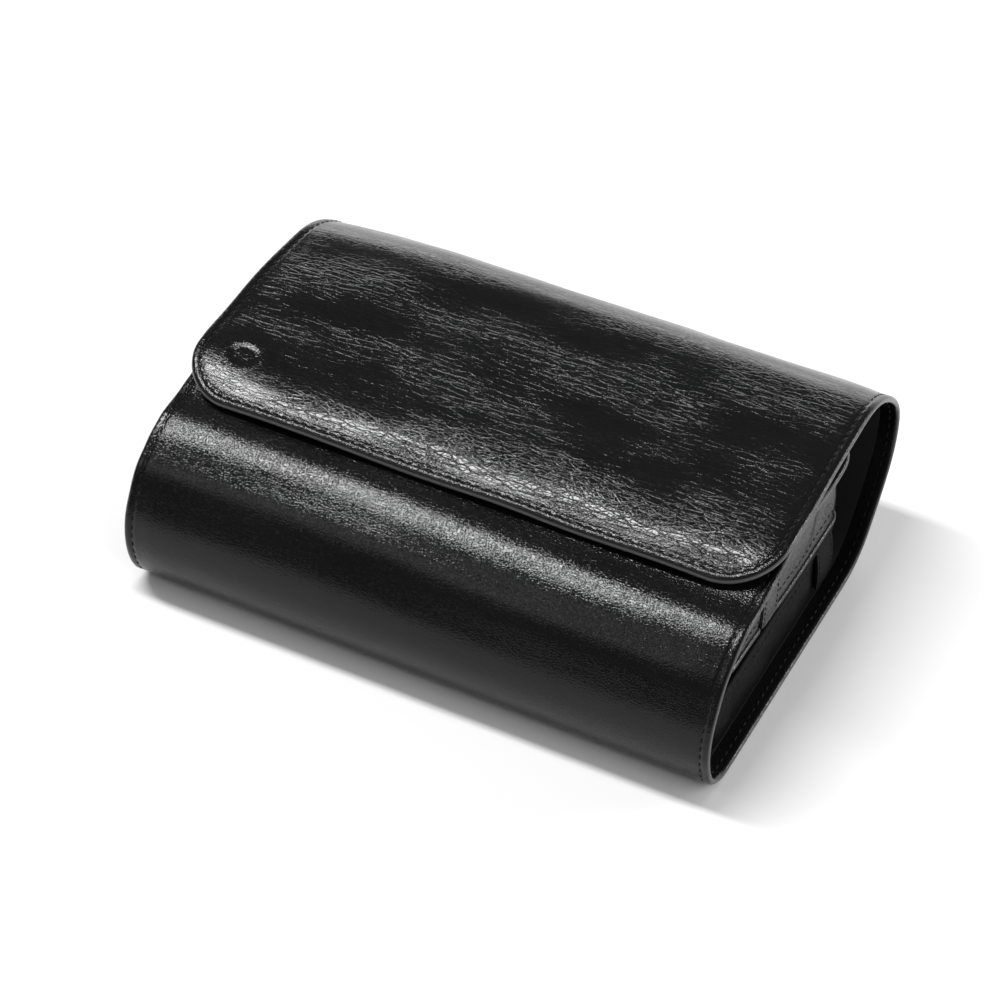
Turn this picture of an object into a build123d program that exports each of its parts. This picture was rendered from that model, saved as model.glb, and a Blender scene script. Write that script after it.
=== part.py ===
from build123d import *
import os
from math import atan2, cos, degrees, hypot, radians, sin, tan

# A fold-over leather travel case, in millimetres. One length of lined leather is wound once
# round two zipped pouches: up the front, along the bottom, up the back and over the top as a
# flap. Its other end folds in under the flap as a leaf that carries the upper pouch.
# +X runs along the case, +Y points to the back, and Z = 0 is the surface it rests on.

# ---- driving dimensions ------------------------------------------------------------------
length = 240.0            # along the folds, from one open end to the other
depth = 170.0             # front belly to back belly
height = 80.0             # rest surface to the crown of the flap

leather = 1.0             # outer hide
board = 1.0               # stiffener between hide and lining
lining = 0.6
wrap = leather + board + lining
board_margin = 8.0        # boards stop this far inside the open ends and free edges

front_belly = 25.0        # height of the foremost point
front_drop = 18.35        # crown of the flap down to the top of the front wall
toe_radius = 40.0         # wall under the front belly
back_drop = 31.1          # crown of the flap down to the rearmost point
heel_radius = 30.0        # bottom turning up to the back wall
heel_run_radius = 110.0   # nearly straight run from the heel to the back belly
shoulder_radius = 22.0    # back wall turning over to the flap
shoulder_run_radius = 80.0

fold_run = 16.5           # straight bend strip between the front wall and the leaf
leaf_start_radius = 40.0
leaf_reach = 43.0         # Y of the leaf's free edge
lid_gap = 1.2             # flap's underside over the start of the leaf
flap_lap = 1.7            # flap's edge in front of the start of the leaf
flap_corner = 22.0        # radius of the flap's two free corners in plan
leaf_corner = 14.0
magnet_diameter = 14.0
magnet_spread = 70.0      # each magnet's distance from the middle
magnet_inset = 17.0       # from the flap's edge
magnet_clearance = 0.3

pouch_length = 224.0
pouch_wall = 1.6
pouch_lining = 0.5
pouch_corner = 10.0
pouch_gap = 5.0           # between the faces of the two pouches
lower_pouch_height = 28.0 # rest surface to the lower pouch's face
lower_flare_front = 6.0   # how far the lower pouch's ends widen towards its face
lower_flare_back = 8.0
upper_front = -58.0       # Y of the upper pouch's front and back at its face
upper_back = 51.0
upper_front_rise = 17.0   # upright part of the upper pouch's front, above its face

zip_length = 200.0
lower_zip_inset = 16.5    # middle of the lower zip in from the back of that pouch
upper_zip_y = -18.0
slot_width = 9.0
chain_width = 2.3
chain_gap = 1.4           # between the two rows of teeth, where the slider's post runs
tape_width = 12.0
tape = 0.6
slider_length = 12.0
slider_width = 8.0
slider_plate = 1.0
slider_clearance = 0.3
stop_length = 2.0
bail_span = 6.0
bail_bar = 1.0
pull_length = 16.0
pull_width = 5.2
pull = 1.0
tab_width = 14.0
tab_drop = 20.0
tab = 1.0

# ---- paths of the leather, as start, heading and steps -----------------------------------
# A section is drawn with Y to the right and Z up. A step is (radius, turn in degrees), or
# (0, length) for a straight run. Headings are in degrees from +Y.
FRONT_TOP_TURN = 70.0     # turned from the top of the front wall to the front belly
TOE_TURN = 20.0
HEEL_TURN = 42.0
HEEL_RUN_TURN = 14.0
BELLY_TURN = 90.0 - HEEL_TURN - HEEL_RUN_TURN
SHOULDER_TURN = 45.0
SHOULDER_RUN_TURN = 10.0
CROWN_TURN = 180.0 - 90.0 - SHOULDER_TURN - SHOULDER_RUN_TURN
BACK_WALL_TURN = 15.0     # part of the shoulder that belongs to the back wall
FOLD_CROWN_TURN = 15.0    # part of the crown that belongs to the fold
LEAF_START_TURN = 17.0


def polar(size, angle):
    return Vector(size * cos(radians(angle)), size * sin(radians(angle)))


def rise(radius, start, end):
    """Height gained by an arc that turns left between two headings."""
    return radius * (cos(radians(start)) - cos(radians(end)))


def reach(radius, start, end):
    """Way along Y gained by an arc that turns left between two headings."""
    return radius * (sin(radians(end)) - sin(radians(start)))


def trace(path, inset=0.0):
    """Lines and arcs of a path, moved to its left by inset."""
    start, heading, steps = path
    point = start + polar(inset, heading + 90)
    edges = []
    for radius, turn in steps:
        if radius == 0:
            edge = Line(point, point + polar(turn, heading))
        else:
            bent = radius - inset if turn > 0 else radius + inset
            edge = JernArc(point, polar(1, heading), bent, turn)
            heading += turn
        point = edge @ 1
        edges.append(edge)
    return edges


def across(face, width):
    """A section in Y and Z, extruded evenly to both sides along X."""
    return extrude(Plane.YZ * face, amount=width / 2, both=True)


def layer(path, near, far, width=length):
    """The sheet of leather, board or lining between two depths under a path."""
    outer = trace(path, near)
    inner = trace(path, far)
    ends = [Line(outer[0] @ 0, inner[0] @ 0), Line(outer[-1] @ 1, inner[-1] @ 1)]
    return across(make_face(outer + inner + ends), width)


def skin(path, side=1):
    return layer(path, 0, side * leather)


def stiffener(path, side=1):
    return layer(path, side * leather, side * (leather + board), length - 2 * board_margin)


def facing(path, side=1):
    return layer(path, side * (leather + board), side * wrap)


front = -depth / 2
front_radius = (height - front_drop - front_belly) / rise(1, 90, 90 + FRONT_TOP_TURN)
front_top = Vector(front + front_radius, front_belly) + polar(front_radius, 180 - FRONT_TOP_TURN)
front_heading = 270 - FRONT_TOP_TURN

toe_bend = 90 - TOE_TURN
heel_turned = HEEL_TURN + HEEL_RUN_TURN
toe_corner = (front_belly - toe_radius * sin(radians(TOE_TURN))) / (1 - cos(radians(toe_bend)))
back_belly = height - back_drop
heel_rise = rise(heel_radius, 0, HEEL_TURN)
belly_rise = back_belly - heel_rise - rise(heel_run_radius, HEEL_TURN, heel_turned)
belly_radius = belly_rise / rise(1, heel_turned, 90)
bottom_front = front + toe_radius * (1 - cos(radians(TOE_TURN))) + toe_corner * sin(radians(toe_bend))
bottom_back = (depth / 2 - reach(heel_radius, 0, HEEL_TURN)
               - reach(heel_run_radius, HEEL_TURN, heel_turned) - reach(belly_radius, heel_turned, 90))

front_steps = [(front_radius, FRONT_TOP_TURN), (toe_radius, TOE_TURN)]
bottom_steps = [(0, bottom_back - bottom_front)]
back_steps = [(heel_run_radius, HEEL_RUN_TURN), (belly_radius, BELLY_TURN), (shoulder_radius, BACK_WALL_TURN)]
front_path = (front_top, front_heading, front_steps)
bottom_path = (Vector(bottom_front, 0), 0, bottom_steps)
heel_end = Vector(bottom_back + reach(heel_radius, 0, HEEL_TURN), heel_rise)
back_path = (heel_end, HEEL_TURN, back_steps)
body_steps = front_steps + [(toe_corner, toe_bend)] + bottom_steps + [(heel_radius, HEEL_TURN)] + back_steps
body_path = (front_top, front_heading, body_steps)

fold_start = trace(body_path)[-1] @ 1
fold_heading = 90 + BACK_WALL_TURN
shoulder_turned = 90 + SHOULDER_TURN
run_turned = shoulder_turned + SHOULDER_RUN_TURN
crown_rise = (height - back_belly - rise(shoulder_radius, 90, shoulder_turned)
              - rise(shoulder_run_radius, shoulder_turned, run_turned))
crown_radius = crown_rise / rise(1, run_turned, 180)
flap_fold_path = (fold_start, fold_heading, [
    (shoulder_radius, SHOULDER_TURN - BACK_WALL_TURN),
    (shoulder_run_radius, SHOULDER_RUN_TURN),
    (crown_radius, FOLD_CROWN_TURN)])

leaf_heading = front_heading - 180
leaf_start = front_top + polar(fold_run, leaf_heading)
leaf_slope = leaf_heading - LEAF_START_TURN
leaf_run_start = trace((leaf_start, leaf_heading, [(leaf_start_radius, -LEAF_START_TURN)]))[-1] @ 1
leaf_run = (leaf_reach - leaf_run_start.X) / cos(radians(leaf_slope))
leaf_fold_path = (front_top, leaf_heading, [(0, fold_run)])
leaf_path = (leaf_start, leaf_heading, [(leaf_start_radius, -LEAF_START_TURN), (0, leaf_run)])
leaf_run_path = (leaf_run_start, leaf_slope, [(0, leaf_run)])

flap_start = trace(flap_fold_path)[-1] @ 1
flap_heading = run_turned + FOLD_CROWN_TURN
flap_edge = leaf_start.X - flap_lap
flap_edge_height = leaf_start.Y + wrap + lid_gap
crown = trace((flap_start, flap_heading, [(crown_radius, 180 - flap_heading)]))[-1] @ 1
flap_drop_turn = 2 * degrees(atan2(crown.Y - flap_edge_height, crown.X - flap_edge))
flap_chord = hypot(crown.Y - flap_edge_height, crown.X - flap_edge)
flap_radius = flap_chord / (2 * sin(radians(flap_drop_turn / 2)))
flap_path = (flap_start, flap_heading, [(crown_radius, 180 - flap_heading), (flap_radius, flap_drop_turn)])


# ---- the wound leather, its boards and its lining ----------------------------------------
def plan_mask(near, far, radius, round_near):
    """A tall block over the case in plan, with two corners rounded on one side."""
    middle = (near + far) / 2
    block = Pos(0, middle, height / 2) * Box(length, far - near, 3 * height)
    side = -1 if round_near else 1
    corners = block.edges().filter_by(Axis.Z).filter_by(lambda edge: side * (edge.center().Y - middle) > 0)
    return fillet(corners, radius)


flap_mask = plan_mask(flap_edge, depth, flap_corner, round_near=True)
leaf_mask = plan_mask(-depth, leaf_reach, leaf_corner, round_near=False)

magnet_y = flap_edge + magnet_inset
magnet_spots = [Pos(side * magnet_spread, magnet_y, height) for side in (-1, 1)]
magnet_bars = [spot * Cylinder(magnet_diameter / 2, height) for spot in magnet_spots]
magnet_holes = [spot * Cylinder(magnet_diameter / 2 + magnet_clearance, height) for spot in magnet_spots]

flap_stiffener = stiffener(flap_path) & Pos(0, board_margin, 0) * flap_mask
leaf_stiffener = stiffener(leaf_run_path, side=-1) & Pos(0, -board_margin, 0) * leaf_mask

pieces = {
    "body_leather": skin(body_path),
    "body_lining": facing(body_path),
    "front_board": stiffener(front_path),
    "bottom_board": stiffener(bottom_path),
    "back_board": stiffener(back_path),
    "flap_fold_leather": skin(flap_fold_path),
    "flap_fold_lining": facing(flap_fold_path),
    "flap_leather": skin(flap_path) & flap_mask,
    "flap_lining": facing(flap_path) & flap_mask,
    "flap_board": flap_stiffener - magnet_holes,
    "flap_magnets": Compound(children=[flap_stiffener & bar for bar in magnet_bars]),
    "leaf_fold_leather": skin(leaf_fold_path, side=-1),
    "leaf_fold_lining": facing(leaf_fold_path, side=-1),
    "leaf_leather": skin(leaf_path, side=-1) & leaf_mask,
    "leaf_lining": facing(leaf_path, side=-1) & leaf_mask,
    "leaf_board": leaf_stiffener - magnet_holes,
    "leaf_keepers": Compound(children=[leaf_stiffener & bar for bar in magnet_bars]),
}


# ---- the two pouches ---------------------------------------------------------------------
def leaf_underside(y):
    """Height of the lining under the straight run of the leaf."""
    slope = tan(radians(leaf_slope))
    return leaf_run_start.Y + (y - leaf_run_start.X) * slope - wrap / cos(radians(leaf_slope))


room_top = [(depth, leaf_underside(depth)), (-depth, leaf_underside(-depth))]
room_outline = [(-depth, wrap), (depth, wrap)] + room_top
room = across(make_face(Polyline(*room_outline, close=True)), length)


def pouch_core(front_line, back_line, inset):
    """Solid between a pouch's front and back lines, drawn in from its four sides by inset."""
    outline = [(y + inset, z) for y, z in front_line]
    outline += [(y - inset, z) for y, z in reversed(back_line)]
    return across(make_face(Polyline(*outline, close=True)), pouch_length - 2 * inset) & room


def pouch_panel(near, far, face_height, zip_y, inward):
    """The face of a pouch, with its zip slot; inward is +1 where the pouch is above its face."""
    middle = (near + far) / 2
    slab = Box(pouch_length, far - near, pouch_wall)
    slab = fillet(slab.edges().filter_by(Axis.Z), pouch_corner)
    slot = Pos(0, zip_y - middle, 0) * Box(zip_length, slot_width, 2 * pouch_wall)
    return Pos(0, middle, face_height + inward * pouch_wall / 2) * (slab - slot)


def make_pouch(name, front_line, back_line, face_height, zip_y, inward):
    inner = pouch_core(front_line, back_line, pouch_wall)
    hollow = pouch_core(front_line, back_line, pouch_wall + pouch_lining)
    near, far = front_line[0][0], back_line[0][0]
    pieces[f"{name}_pouch_gusset"] = pouch_core(front_line, back_line, 0) - inner
    pieces[f"{name}_pouch_lining"] = inner - Pos(0, 0, -inward * pouch_lining) * hollow
    pieces[f"{name}_pouch_face"] = pouch_panel(near, far, face_height, zip_y, inward)


lower_rim = lower_pouch_height - pouch_wall
lower_front = [(bottom_front - lower_flare_front, lower_rim), (bottom_front, wrap)]
lower_back = [(bottom_back + lower_flare_back, lower_rim), (bottom_back, wrap)]
lower_zip_y = lower_back[0][0] - lower_zip_inset
make_pouch("lower", lower_front, lower_back, lower_pouch_height, lower_zip_y, inward=-1)

upper_face = lower_pouch_height + pouch_gap
upper_rim = upper_face + pouch_wall
upper_top_front = leaf_run_start.X + 1.0
upper_top_back = leaf_reach - 2.0
upper_front_line = [(upper_front, upper_rim), (upper_front, upper_face + upper_front_rise),
                    (upper_top_front, leaf_underside(upper_top_front)),
                    (upper_top_front, height)]
upper_back_line = [(upper_back, upper_rim), (upper_top_back, leaf_underside(upper_top_back)),
                   (upper_top_back, height)]
make_pouch("upper", upper_front_line, upper_back_line, upper_face, upper_zip_y, inward=1)


# ---- zips: each is drawn with the pouch's face at Z = 0 and its outside upwards ----------
def box_between(x0, x1, y0, y1, z0, z1):
    return Pos((x0 + x1) / 2, (y0 + y1) / 2, (z0 + z1) / 2) * Box(x1 - x0, y1 - y0, z1 - z0)


def both_sides(piece):
    return [piece, mirror(piece, Plane.XZ)]


def make_zip(name, seat):
    half = zip_length / 2
    teeth_end = half - stop_length
    half_gap = chain_gap / 2
    chain_edge = half_gap + chain_width
    tape_top = -pouch_wall
    tape_bottom = tape_top - tape
    rest = -(teeth_end - slider_length / 2 - 1.0)

    row = box_between(-teeth_end, teeth_end, half_gap, chain_edge, tape_top, 0)
    strip = box_between(-half - 4, half + 4, half_gap, half_gap + tape_width, tape_bottom, tape_top)
    ends = [box_between(*span, -chain_edge, chain_edge, tape_top, 0.0)
            for span in ((-half, -teeth_end), (teeth_end, half))]
    pouch_end = pouch_length / 2
    tab_side = tab_width / 2
    top_leg = box_between(half + 0.5, pouch_end, -tab_side, tab_side, 0, tab)
    down_leg = box_between(pouch_end, pouch_end + tab, -tab_side, tab_side, -tab_drop, tab)
    end_tab = top_leg + down_leg

    plate_top = slider_clearance + slider_plate
    plate_bottom = tape_bottom - slider_clearance
    bail_height = plate_top + pull + 2 * slider_clearance
    plate = Box(slider_length, slider_width, slider_plate)
    upper_plate = Pos(0, 0, slider_clearance + slider_plate / 2) * plate
    upper_plate = fillet(upper_plate.edges().filter_by(Axis.Z), 2.0)
    lower_plate = Pos(0, 0, plate_bottom - slider_plate - slider_clearance) * upper_plate
    post_width = half_gap - slider_clearance
    post = box_between(-2, 2, -post_width, post_width, plate_bottom - slider_plate / 2, plate_top)
    legs = [box_between(x - bail_bar / 2, x + bail_bar / 2, -bail_bar / 2, bail_bar / 2,
                        slider_clearance, bail_height + 0.5) for x in (-bail_span / 2, bail_span / 2)]
    bridge_end = (bail_span + bail_bar) / 2
    bail_side = bail_bar / 2
    bridge = box_between(-bridge_end, bridge_end, -bail_side, bail_side, bail_height, bail_height + bail_bar)
    slider = upper_plate + lower_plate + post + legs + bridge

    eye = -bail_span / 2
    tongue = Pos(eye - (pull_length - pull_width) / 2, 0, 0) * SlotOverall(pull_length, pull_width)
    hole = Pos(eye, 0, 0) * Circle(bail_bar / 2 + 0.75)
    pull_tab = Pos(0, 0, plate_top + slider_clearance) * extrude(tongue - hole, amount=pull)

    pieces[f"{name}_zip_tape"] = seat * Compound(children=both_sides(strip))
    pieces[f"{name}_zip_teeth"] = seat * Compound(children=both_sides(row))
    pieces[f"{name}_zip_stops"] = seat * Compound(children=ends)
    pieces[f"{name}_zip_tabs"] = seat * Compound(children=[end_tab, mirror(end_tab, Plane.YZ)])
    pieces[f"{name}_zip_slider"] = seat * Pos(rest, 0, 0) * slider
    pieces[f"{name}_zip_pull"] = seat * Pos(rest, 0, 0) * pull_tab


make_zip("lower", Pos(0, lower_zip_y, lower_pouch_height))
make_zip("upper", Pos(0, upper_zip_y, upper_face) * Rot(180, 0, 0))

os.makedirs("parts", exist_ok=True)
for node, shape in pieces.items():
    export_step(shape, f"parts/{node}.step")
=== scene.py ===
import math

import bmesh
import bpy
import numpy as np
from mathutils import Matrix, Vector


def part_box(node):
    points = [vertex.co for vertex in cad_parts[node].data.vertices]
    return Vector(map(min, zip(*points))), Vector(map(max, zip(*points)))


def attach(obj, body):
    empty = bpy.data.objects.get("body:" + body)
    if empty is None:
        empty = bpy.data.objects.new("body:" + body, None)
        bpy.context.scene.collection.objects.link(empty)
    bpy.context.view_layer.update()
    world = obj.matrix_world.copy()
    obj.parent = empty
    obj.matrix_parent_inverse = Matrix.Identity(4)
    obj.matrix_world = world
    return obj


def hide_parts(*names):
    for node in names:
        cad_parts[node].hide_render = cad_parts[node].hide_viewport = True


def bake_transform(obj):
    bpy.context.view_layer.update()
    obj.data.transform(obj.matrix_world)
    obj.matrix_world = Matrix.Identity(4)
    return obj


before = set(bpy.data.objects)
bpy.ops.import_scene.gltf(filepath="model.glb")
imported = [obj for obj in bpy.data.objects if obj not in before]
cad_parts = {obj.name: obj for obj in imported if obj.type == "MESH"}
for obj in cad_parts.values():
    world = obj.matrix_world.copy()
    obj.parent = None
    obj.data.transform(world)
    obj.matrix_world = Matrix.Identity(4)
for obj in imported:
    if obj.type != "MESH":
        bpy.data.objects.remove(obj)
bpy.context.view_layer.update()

# ---- The hide ------------------------------------------------------------------------------
# One length of black glazed calf over lining and board, wound from the leaf under the flap,
# down the front, along the bottom, up the back and over the top to the flap's free edge. Its
# section is straight runs and bends, which the stiff, stitched hide eases into each other.
mm = 0.001
half_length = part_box("body_leather")[1].x
wall = 2.6 * mm
leaf_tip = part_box("leaf_leather")[1]
WRAP_STEPS = [            # (radius in mm, turn in degrees), or (0, length in mm)
    (0, 75.35), (40, 17), (0, 16.5), (39, 70), (40, 20), (17.2, 70), (0, 107.4), (30, 42),
    (110, 14), (37.46, 34), (22, 45), (80, 10), (36.4, 35), (485.2, 10.97)]
leaf_corner = 14 * mm
flap_corner = 22 * mm


def smooth(values, spread):
    """A Gaussian average whose ends carry on in a straight line."""
    reach = np.arange(-3 * spread, 3 * spread + 1)
    weights = np.exp(-0.5 * (reach / spread) ** 2)
    head = values[0] - (values[1] - values[0]) * np.arange(3 * spread, 0, -1)
    tail = values[-1] + (values[-1] - values[-2]) * np.arange(1, 3 * spread + 1)
    return np.convolve(np.concatenate([head, values, tail]), weights / weights.sum(), "valid")


step = 0.25 * mm
turns = []
for radius, amount in WRAP_STEPS:
    run = amount * mm if radius == 0 else radius * mm * math.radians(amount)
    bend = 0 if radius == 0 else math.radians(amount) / run
    turns += [bend * step] * round(run / step)
heading = smooth(math.radians(183) + np.cumsum(turns), spread=14)
way = np.arange(len(heading)) * step
whole = way[-1]
section_y = leaf_tip.y + np.cumsum(np.cos(heading)) * step
section_z = leaf_tip.z + np.cumsum(np.sin(heading)) * step
section_z = section_z - section_z.min()

# Stations along the hide, measured from the leaf's free edge.
LEAF_END, FRONT_TOP, BELLY, TOE = 87.2 * mm, 103.7 * mm, 151.4 * mm, 186.3 * mm
HEEL, BACK_TOP, FOLD_MIDDLE, FLAP_START = 293.7 * mm, 370.6 * mm, 389.1 * mm, 405.6 * mm
BOTTOM_MIDDLE = 240 * mm


def bump(value, middle, spread):
    return np.exp(-((value - middle) / spread) ** 2)


def ramp(value, low, high):
    share = np.clip((value - low) / (high - low), 0, 1)
    return share * share * (3 - 2 * share)


def waves(s, x, seed, shortest, longest, count=9):
    """A smooth random relief between about -1 and 1, from waves of many directions."""
    dice = np.random.default_rng(seed)
    total = 0
    for _ in range(count):
        size = dice.uniform(shortest, longest)
        angle = dice.uniform(0, math.pi)
        phase = dice.uniform(0, 2 * math.pi)
        across = s * math.sin(angle) + x * math.cos(angle)
        total = total + np.sin(2 * math.pi * across / size + phase)
    return total / math.sqrt(count) / 1.4


def edge_distance(s, x):
    """Distance to the hide's own edge: two long sides, two ends and four round corners."""
    side = half_length - np.abs(x)
    best = np.minimum(side, np.minimum(s, whole - s))
    for end, radius in ((s, leaf_corner), (whole - s, flap_corner)):
        inside = (side < radius) & (end < radius)
        best = np.where(inside, radius - np.hypot(radius - side, radius - end), best)
    return np.maximum(best, 0)


def half_width(s):
    """Half the hide's width at a station, less where the corners are rounded."""
    width = np.full_like(s, half_length)
    for end, radius in ((s, leaf_corner), (whole - s, flap_corner)):
        cut = radius - np.sqrt(np.maximum(radius ** 2 - (radius - np.minimum(end, radius)) ** 2, 0))
        width = width - cut
    return width


def drape(s, x):
    """How far the whole wall stands off its section: the give and the folds of used leather."""
    from_edge = whole - s
    across = x / half_length
    on_flap = ramp(s, FLAP_START, FLAP_START + 30 * mm)
    on_front = ramp(s, LEAF_END + 8 * mm, FRONT_TOP) * (1 - ramp(s, BELLY, TOE - 12 * mm))
    on_back = ramp(s, HEEL + 10 * mm, HEEL + 40 * mm) * (1 - ramp(s, BACK_TOP, FLAP_START))
    on_leaf = 1 - ramp(s, LEAF_END - 40 * mm, LEAF_END)

    # The flap swells behind its free edge, and the edge itself rolls down, more at the right.
    roll_swell, roll_drop, corner_drop, edge_ripple = 1.3 * mm, 1.9 * mm, 0.6 * mm, 0.45 * mm
    lift = roll_swell * bump(from_edge, 24 * mm, 14 * mm)
    lift = lift - roll_drop * np.clip(1 - from_edge / (18 * mm), 0, 1) ** 2
    lift = lift - corner_drop * bump(from_edge, 0, 16 * mm) * bump(across, 0.82, 0.16)
    lift = lift + edge_ripple * bump(from_edge, 0, 14 * mm) * np.sin(across * 9 + 0.6)

    # The front is pressed in where the flap lies on it, a little further down at the right.
    flap_print = 2.8 * mm
    later = s - 3.5 * mm * ramp(across, -0.4, 0.9)
    pressed = ramp(s, LEAF_END - 30 * mm, LEAF_END - 10 * mm)
    pressed = pressed * (1 - ramp(later, LEAF_END - 4 * mm, LEAF_END + 11.5 * mm))
    lift = lift - flap_print * pressed

    # The back's top corner droops at the left, where nothing inside holds it up.
    corner_droop = 2.8 * mm
    lift = lift - corner_droop * ramp(-across, 0.5, 1.0) * bump(s, FLAP_START - 6 * mm, 32 * mm)

    # Two shallow creases run along the front, and the panels ripple slightly.
    crease = FRONT_TOP + (7.5 + 1.5 * np.sin(across * 4)) * mm + s - later
    lift = lift - on_front * 0.4 * mm * bump(s, crease, 4.5 * mm)
    lift = lift - on_front * 0.6 * mm * bump(s, crease + 18 * mm, 7 * mm)
    lift = lift + 0.4 * mm * on_flap * waves(s, x, 3, 34 * mm, 80 * mm)
    lift = lift + (0.12 * on_front + 0.35 * on_back) * mm * waves(s, x, 8, 26 * mm, 70 * mm)

    # The leaf's end curls up, then hollows, then swells over the upper pouch.
    curl, hollow, swell = 2.2 * mm, 2.0 * mm, 1.2 * mm
    leaf_lift = curl * bump(s, 0, 9 * mm) - hollow * bump(s, 20 * mm, 13 * mm)
    leaf_lift = leaf_lift + swell * bump(s, 55 * mm, 20 * mm)
    return lift + on_leaf * leaf_lift


stitch_margin = 3.6 * mm
stitch_pitch = 4.0 * mm


def hem(s, x):
    """Height of the hide over its wall: a hem puffed outside the seam, a groove with puckers."""
    d = edge_distance(s, x)
    along = np.where(half_length - np.abs(x) < np.minimum(s, whole - s), s, x)
    pucker = 0.5 + 0.5 * np.cos(2 * math.pi * along / stitch_pitch)
    puff = (0.14 + 0.08 * pucker) * mm * bump(d, 1.9 * mm, 1.1 * mm)
    groove = (0.24 + 0.12 * pucker) * mm * bump(d, stitch_margin, 0.6 * mm)
    padding = 0.45 * mm * ramp(d, stitch_margin, 13 * mm)
    padding = padding + 0.06 * mm * pucker * bump(d, 5.2 * mm, 1.1 * mm)
    return puff - groove + padding


stamp_x = -101 * mm
stamp_way = whole - 22.5 * mm
stamp_depth = 0.65 * mm


def stamp(s, x):
    """Depth of a plain blind stamp: a smooth sunk oval."""
    out = np.hypot((x - stamp_x) / (7.4 * mm), (s - stamp_way) / (5.8 * mm))
    return stamp_depth * (1 - ramp(out, 0.55, 1.0))


def hide_point(s, x, level):
    """A point of the hide; level runs from 1 on its face to -1 on its lining side."""
    s, x, level = np.broadcast_arrays(s, x, level)
    base_y = np.interp(s, way, section_y)
    base_z = np.interp(s, way, section_z)
    turn = np.interp(s, way, heading)
    out_y, out_z = np.sin(turn), -np.cos(turn)
    d = edge_distance(s, x)
    edge_round = 1.5 * mm          # the dyed, burnished edge
    roundness = np.sqrt(1 - (1 - np.clip(d / edge_round, 0, 1)) ** 2)
    off_bottom = 1 - ramp(s, TOE - 14 * mm, TOE) * (1 - ramp(s, HEEL, HEEL + 14 * mm))
    face = np.clip(level, 0, 1)
    rise = wall / 2 * roundness * level - wall / 2 + drape(s, x) * off_bottom
    rise = rise + (hem(s, x) - stamp(s, x)) * face * off_bottom
    flare = 1.2 * mm * bump(s, FLAP_START + 72 * mm, 42 * mm)
    flare = flare * np.sign(x) * (np.abs(x) / half_length) ** 6
    y = base_y + out_y * rise
    z = base_z + out_z * rise
    return np.stack([x + flare, y, np.maximum(z, 0.0)], axis=-1)


def graded(*stretches):
    """Positions from stretches of (start, end, spacing)."""
    out = [np.linspace(a, b, max(2, round(abs(b - a) / gap) + 1))[:-1] for a, b, gap in stretches]
    return np.concatenate(out + [[stretches[-1][1]]])


leaf_rows = leaf_corner * (1 - np.cos(np.radians(np.arange(0, 90, 5))))
flap_rows = whole - flap_corner * (1 - np.cos(np.radians(np.arange(0, 90, 3.75))))
rows = np.concatenate([leaf_rows, graded(
    (leaf_corner, LEAF_END, 2.2 * mm), (LEAF_END, TOE, 1.3 * mm), (TOE, BOTTOM_MIDDLE, 5 * mm),
    (BOTTOM_MIDDLE, HEEL, 5 * mm), (HEEL, BACK_TOP, 1.6 * mm), (BACK_TOP, FOLD_MIDDLE, 1.0 * mm),
    (FOLD_MIDDLE, stamp_way - 8 * mm, 1.15 * mm),
    (stamp_way - 8 * mm, whole - flap_corner, 0.45 * mm)), flap_rows[::-1]])
rows = np.unique(np.round(rows, 7))
hem_columns = np.array([0, 0.12, 0.35, 0.7, 1.1, 1.6, 2.2, 2.7, 3.15, 3.6, 4.05, 4.6, 5.3,
                        6.2]) * mm
hem_width, stamp_reach = 7.5 * mm, 8.5 * mm
left = np.concatenate([-half_length + hem_columns, graded(
    (-half_length + hem_width, stamp_x - stamp_reach, 1.0 * mm),
    (stamp_x - stamp_reach, stamp_x + stamp_reach, 0.42 * mm),
    (stamp_x + stamp_reach, 0, 1.5 * mm))])
right = np.concatenate([graded((0, half_length - hem_width, 1.5 * mm)),
                        half_length - hem_columns[::-1]])
columns = np.concatenate([left[:-1], right]) / half_length


def shell(name, s_values, u_values, top, bottom, width=None):
    """A closed sheet of the hide between two levels, as a mesh object."""
    widths = half_width(s_values) if width is None else np.full_like(s_values, width)
    s_grid = np.repeat(s_values[:, None], len(u_values), 1)
    x_grid = widths[:, None] * u_values[None, :]
    faces_up = hide_point(s_grid, x_grid, top)
    faces_down = hide_point(s_grid, x_grid, bottom)
    count_s, count_x = s_grid.shape
    verts = np.concatenate([faces_up.reshape(-1, 3), faces_down.reshape(-1, 3)])
    index = np.arange(count_s * count_x).reshape(count_s, count_x)
    lower = index + count_s * count_x

    def quads(grid, flip):
        corners = [grid[:-1, :-1], grid[1:, :-1], grid[1:, 1:], grid[:-1, 1:]]
        return np.stack(corners[::-1] if flip else corners, -1).reshape(-1, 4)

    def strip(a, b):
        return np.stack([a[:-1], a[1:], b[1:], b[:-1]], -1)

    faces = [quads(index, False), quads(lower, True),
             strip(index[0], lower[0]), strip(lower[-1], index[-1]),
             strip(lower[:, 0], index[:, 0]), strip(index[:, -1], lower[:, -1])]
    mesh = bpy.data.meshes.new(name)
    mesh.from_pydata(verts, [], np.concatenate(faces).tolist())
    mesh.validate()
    # "rim" is the bare burnished edge, painted lighter as a painted highlight along it, and
    # "worked" the leather that flexes and creases.
    rim = 1 - ramp(edge_distance(s_grid, x_grid), 0.1 * mm, 0.65 * mm)
    off_stamp = ramp(np.hypot(x_grid - stamp_x, s_grid - stamp_way), 7 * mm, 10 * mm)
    worked = (ramp(s_grid, FLAP_START - 20 * mm, FLAP_START + 6 * mm) * off_stamp
              * ramp(edge_distance(s_grid, x_grid), 3 * mm, 9 * mm))
    for label, values in (("rim", rim), ("worked", worked)):
        held = mesh.attributes.new(label, "FLOAT", "POINT")
        held.data.foreach_set("value", np.tile(values.ravel(), 2))
    made = bpy.data.objects.new(name, mesh)
    bpy.context.scene.collection.objects.link(made)
    weld(made)
    return made


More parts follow.
